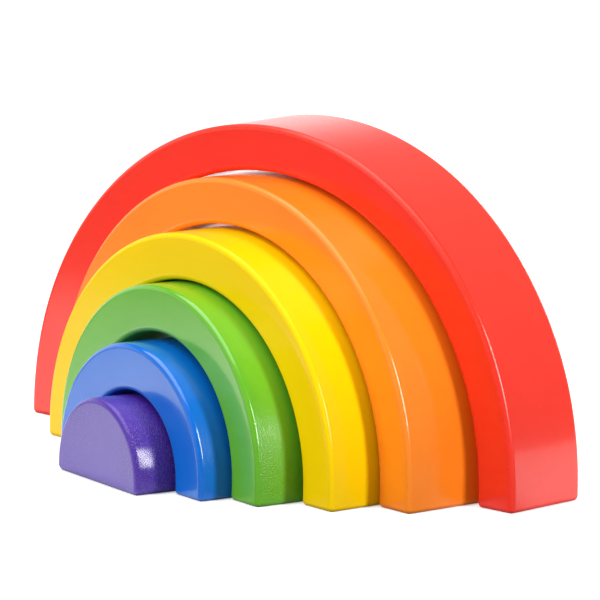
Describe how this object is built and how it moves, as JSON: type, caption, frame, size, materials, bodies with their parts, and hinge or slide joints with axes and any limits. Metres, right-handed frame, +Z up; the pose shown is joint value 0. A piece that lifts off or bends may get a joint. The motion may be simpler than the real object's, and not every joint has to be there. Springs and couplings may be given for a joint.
{
  "type": "rainbow stacker",
  "caption": "Rainbow stacking toy: glossy painted wooden arches of shrinking size nest inside one another around a solid half disc and slide out to stack and build with.",
  "frame": {"origin": "on the table, in the middle of the row's footprint: bottom centre of its bounding box", "axes": "+X along the span of the red arch, to the right seen from the front; +Y to the back; +Z up"},
  "size_m": [0.1684, 0.0812, 0.0871],
  "materials": {
    "red_lacquer": "glossy paint",
    "orange_lacquer": "glossy paint",
    "yellow_lacquer": "glossy paint",
    "green_lacquer": "glossy paint",
    "blue_lacquer": "glossy paint",
    "purple_lacquer": "glossy paint"
  },
  "bodies": {
    "red_arch": {"red_arch": "red_lacquer"},
    "orange_arch": {"orange_arch": "orange_lacquer"},
    "yellow_arch": {"yellow_arch": "yellow_lacquer"},
    "green_arch": {"green_arch": "green_lacquer"},
    "blue_arch": {"blue_arch": "blue_lacquer"},
    "purple_half_disc": {"purple_half_disc": "purple_lacquer"}
  },
  "joints": [
    {"name": "orange_slide", "type": "slide", "parent": "red_arch", "child": "orange_arch", "axis": [-0.0593, -0.9982, 0], "range_m": [-0.0116, 0.0264]},
    {"name": "yellow_slide", "type": "slide", "parent": "orange_arch", "child": "yellow_arch", "axis": [-0.1253, -0.9921, 0], "range_m": [-0.0136, 0.0244]},
    {"name": "green_slide", "type": "slide", "parent": "yellow_arch", "child": "green_arch", "axis": [-0.1668, -0.986, 0], "range_m": [-0.0088, 0.0292]},
    {"name": "blue_slide", "type": "slide", "parent": "green_arch", "child": "blue_arch", "axis": [-0.2011, -0.9796, 0], "range_m": [-0.0085, 0.0295]},
    {"name": "purple_slide", "type": "slide", "parent": "blue_arch", "child": "purple_half_disc", "axis": [-0.2207, -0.9753, 0], "range_m": [-0.0095, 0.0285]}
  ]
}
